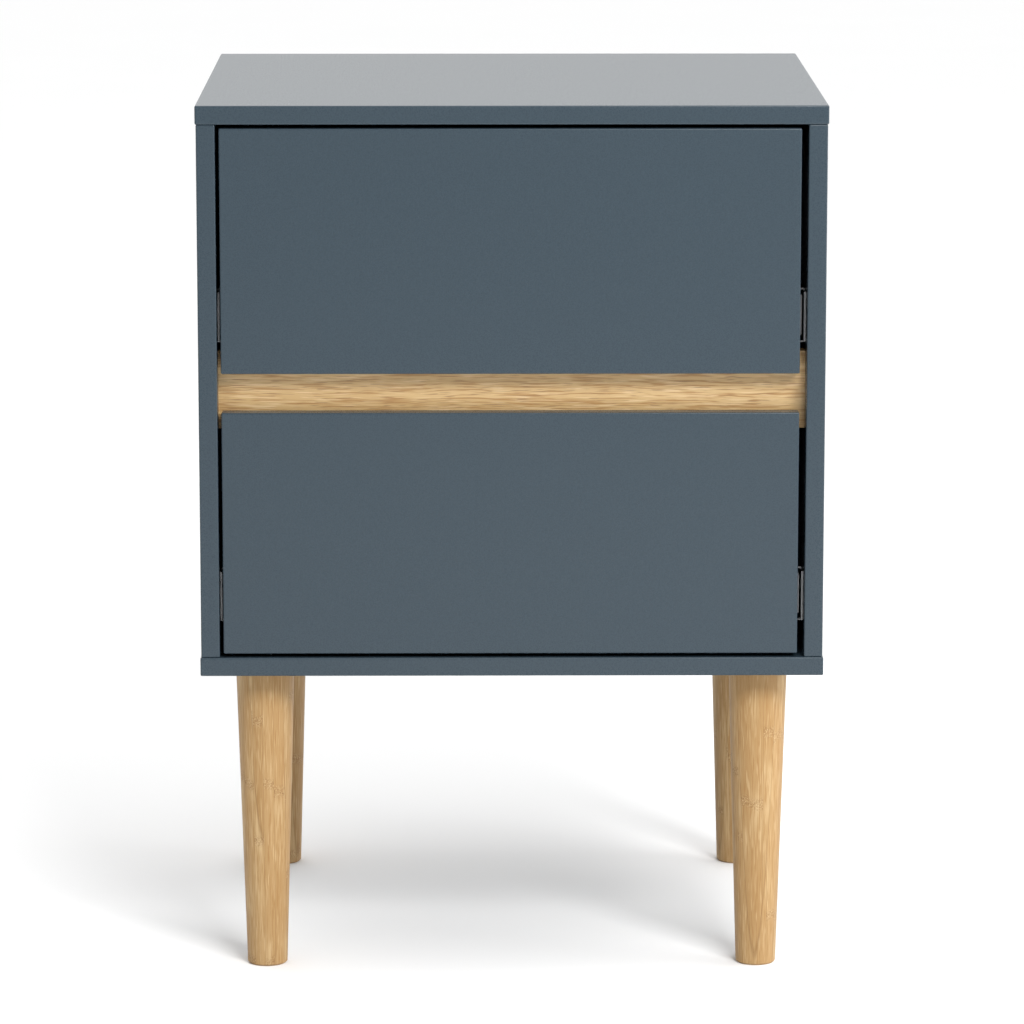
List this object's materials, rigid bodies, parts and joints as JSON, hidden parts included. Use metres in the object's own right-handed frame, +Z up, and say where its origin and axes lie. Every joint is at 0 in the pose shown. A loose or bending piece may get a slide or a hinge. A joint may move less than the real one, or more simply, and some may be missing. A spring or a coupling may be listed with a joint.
{
  "type": "nightstand with drawers",
  "caption": "Bedside cabinet on tapered round wooden legs, slate lacquered, with flush drawers on ball-bearing slides and a finger gap for a handle.",
  "frame": {"origin": "on the floor, under the middle of the cabinet's footprint", "axes": "+X to the right as seen from the front, +Y from the drawer fronts to the back, +Z up"},
  "size_m": [0.4, 0.35, 0.567],
  "materials": {
    "slate_lacquer": "satin slate blue-grey lacquer on MDF, edges eased",
    "oak_veneer": "oak veneer under satin lacquer, fine straight grain along X",
    "leg_wood": "turned laminated bamboo, fibres along the leg, satin lacquer",
    "drawer_board": "board with a pale grey melamine face",
    "hardboard": "thin hardboard with a pale painted face",
    "dowel_wood": "plain beech",
    "slide_steel": "bright zinc-plated sheet steel",
    "bearing_steel": "polished balls in a bright sheet cage",
    "fastener_steel": "zinc-plated steel and cast zinc",
    "lever_plastic": "black moulded plastic"
  },
  "bodies": {
    "cabinet": {"back_panel": "hardboard", "bottom_panel": "slate_lacquer", "bottom_panel_screws": "fastener_steel", "carcass_cam_bolts": "fastener_steel", "carcass_cam_locks": "fastener_steel", "carcass_dowels": "dowel_wood", "finger_rail": "oak_veneer", "leg_back_left": "leg_wood", "leg_back_right": "leg_wood", "leg_front_left": "leg_wood", "leg_front_right": "leg_wood", "leg_hanger_bolts": "fastener_steel", "leg_t_nuts": "fastener_steel", "lower_slide_outer_left": "slide_steel", "lower_slide_outer_right": "slide_steel", "side_panel_left": "slate_lacquer", "side_panel_right": "slate_lacquer", "slide_outer_screws": "fastener_steel", "top_panel": "slate_lacquer", "upper_slide_outer_left": "slide_steel", "upper_slide_outer_right": "slide_steel"},
    "upper_drawer": {"upper_drawer_back": "drawer_board", "upper_drawer_back_screws": "fastener_steel", "upper_drawer_bottom": "hardboard", "upper_drawer_cam_bolts": "fastener_steel", "upper_drawer_cam_locks": "fastener_steel", "upper_drawer_front": "slate_lacquer", "upper_drawer_side_left": "drawer_board", "upper_drawer_side_right": "drawer_board", "upper_slide_inner_screws": "fastener_steel", "upper_slide_inner_left": "slide_steel", "upper_slide_inner_right": "slide_steel"},
    "lower_drawer": {"lower_drawer_back": "drawer_board", "lower_drawer_back_screws": "fastener_steel", "lower_drawer_bottom": "hardboard", "lower_drawer_cam_bolts": "fastener_steel", "lower_drawer_cam_locks": "fastener_steel", "lower_drawer_front": "slate_lacquer", "lower_drawer_side_left": "drawer_board", "lower_drawer_side_right": "drawer_board", "lower_slide_inner_screws": "fastener_steel", "lower_slide_inner_left": "slide_steel", "lower_slide_inner_right": "slide_steel"},
    "upper_slide_middle_left_body": {"upper_slide_middle_left": "slide_steel"},
    "upper_outer_ball_cage_left_body": {"upper_outer_ball_cage_left": "bearing_steel"},
    "upper_inner_ball_cage_left_body": {"upper_inner_ball_cage_left": "bearing_steel"},
    "upper_slide_lever_left_body": {"upper_slide_lever_left": "lever_plastic"},
    "upper_slide_middle_right_body": {"upper_slide_middle_right": "slide_steel"},
    "upper_outer_ball_cage_right_body": {"upper_outer_ball_cage_right": "bearing_steel"},
    "upper_inner_ball_cage_right_body": {"upper_inner_ball_cage_right": "bearing_steel"},
    "upper_slide_lever_right_body": {"upper_slide_lever_right": "lever_plastic"},
    "lower_slide_middle_left_body": {"lower_slide_middle_left": "slide_steel"},
    "lower_outer_ball_cage_left_body": {"lower_outer_ball_cage_left": "bearing_steel"},
    "lower_inner_ball_cage_left_body": {"lower_inner_ball_cage_left": "bearing_steel"},
    "lower_slide_lever_left_body": {"lower_slide_lever_left": "lever_plastic"},
    "lower_slide_middle_right_body": {"lower_slide_middle_right": "slide_steel"},
    "lower_outer_ball_cage_right_body": {"lower_outer_ball_cage_right": "bearing_steel"},
    "lower_inner_ball_cage_right_body": {"lower_inner_ball_cage_right": "bearing_steel"},
    "lower_slide_lever_right_body": {"lower_slide_lever_right": "lever_plastic"}
  },
  "joints": [
    {"name": "upper_drawer_slide", "type": "slide", "parent": "cabinet", "child": "upper_drawer", "axis": [0, -1, 0], "range_m": [0, 0.3]},
    {"name": "lower_drawer_slide", "type": "slide", "parent": "cabinet", "child": "lower_drawer", "axis": [0, -1, 0], "range_m": [0, 0.3]},
    {"name": "upper_slide_middle_left_travel", "type": "slide", "parent": "cabinet", "child": "upper_slide_middle_left_body", "axis": [0, -1, 0], "range_m": [0, 0.15]},
    {"name": "upper_outer_ball_cage_left_travel", "type": "slide", "parent": "cabinet", "child": "upper_outer_ball_cage_left_body", "axis": [0, -1, 0], "range_m": [0, 0.075]},
    {"name": "upper_inner_ball_cage_left_travel", "type": "slide", "parent": "cabinet", "child": "upper_inner_ball_cage_left_body", "axis": [0, -1, 0], "range_m": [0, 0.225]},
    {"name": "upper_slide_lever_left_hinge", "type": "hinge", "parent": "upper_drawer", "child": "upper_slide_lever_left_body", "pos_m": [-0.1762, 0.034, 0.43], "axis": [1, 0, 0], "range_deg": [0, 8], "stiffness_Nm_per_rad": 0.03, "springref_deg": -5.73},
    {"name": "upper_slide_middle_right_travel", "type": "slide", "parent": "cabinet", "child": "upper_slide_middle_right_body", "axis": [0, -1, 0], "range_m": [0, 0.15]},
    {"name": "upper_outer_ball_cage_right_travel", "type": "slide", "parent": "cabinet", "child": "upper_outer_ball_cage_right_body", "axis": [0, -1, 0], "range_m": [0, 0.075]},
    {"name": "upper_inner_ball_cage_right_travel", "type": "slide", "parent": "cabinet", "child": "upper_inner_ball_cage_right_body", "axis": [0, -1, 0], "range_m": [0, 0.225]},
    {"name": "upper_slide_lever_right_hinge", "type": "hinge", "parent": "upper_drawer", "child": "upper_slide_lever_right_body", "pos_m": [0.1762, 0.034, 0.43], "axis": [1, 0, 0], "range_deg": [-8, 0], "stiffness_Nm_per_rad": 0.03, "springref_deg": 5.73},
    {"name": "lower_slide_middle_left_travel", "type": "slide", "parent": "cabinet", "child": "lower_slide_middle_left_body", "axis": [0, -1, 0], "range_m": [0, 0.15]},
    {"name": "lower_outer_ball_cage_left_travel", "type": "slide", "parent": "cabinet", "child": "lower_outer_ball_cage_left_body", "axis": [0, -1, 0], "range_m": [0, 0.075]},
    {"name": "lower_inner_ball_cage_left_travel", "type": "slide", "parent": "cabinet", "child": "lower_inner_ball_cage_left_body", "axis": [0, -1, 0], "range_m": [0, 0.225]},
    {"name": "lower_slide_lever_left_hinge", "type": "hinge", "parent": "lower_drawer", "child": "lower_slide_lever_left_body", "pos_m": [-0.1762, 0.034, 0.2485], "axis": [1, 0, 0], "range_deg": [0, 8], "stiffness_Nm_per_rad": 0.03, "springref_deg": -5.73},
    {"name": "lower_slide_middle_right_travel", "type": "slide", "parent": "cabinet", "child": "lower_slide_middle_right_body", "axis": [0, -1, 0], "range_m": [0, 0.15]},
    {"name": "lower_outer_ball_cage_right_travel", "type": "slide", "parent": "cabinet", "child": "lower_outer_ball_cage_right_body", "axis": [0, -1, 0], "range_m": [0, 0.075]},
    {"name": "lower_inner_ball_cage_right_travel", "type": "slide", "parent": "cabinet", "child": "lower_inner_ball_cage_right_body", "axis": [0, -1, 0], "range_m": [0, 0.225]},
    {"name": "lower_slide_lever_right_hinge", "type": "hinge", "parent": "lower_drawer", "child": "lower_slide_lever_right_body", "pos_m": [0.1762, 0.034, 0.2485], "axis": [1, 0, 0], "range_deg": [-8, 0], "stiffness_Nm_per_rad": 0.03, "springref_deg": 5.73}
  ],
  "couplings": [
    {"joint": "upper_slide_middle_left_travel", "follows": "upper_drawer_slide", "ratio": 0.5},
    {"joint": "upper_outer_ball_cage_left_travel", "follows": "upper_drawer_slide", "ratio": 0.25},
    {"joint": "upper_inner_ball_cage_left_travel", "follows": "upper_drawer_slide", "ratio": 0.75},
    {"joint": "upper_slide_middle_right_travel", "follows": "upper_drawer_slide", "ratio": 0.5},
    {"joint": "upper_outer_ball_cage_right_travel", "follows": "upper_drawer_slide", "ratio": 0.25},
    {"joint": "upper_inner_ball_cage_right_travel", "follows": "upper_drawer_slide", "ratio": 0.75},
    {"joint": "lower_slide_middle_left_travel", "follows": "lower_drawer_slide", "ratio": 0.5},
    {"joint": "lower_outer_ball_cage_left_travel", "follows": "lower_drawer_slide", "ratio": 0.25},
    {"joint": "lower_inner_ball_cage_left_travel", "follows": "lower_drawer_slide", "ratio": 0.75},
    {"joint": "lower_slide_middle_right_travel", "follows": "lower_drawer_slide", "ratio": 0.5},
    {"joint": "lower_outer_ball_cage_right_travel", "follows": "lower_drawer_slide", "ratio": 0.25},
    {"joint": "lower_inner_ball_cage_right_travel", "follows": "lower_drawer_slide", "ratio": 0.75}
  ]
}
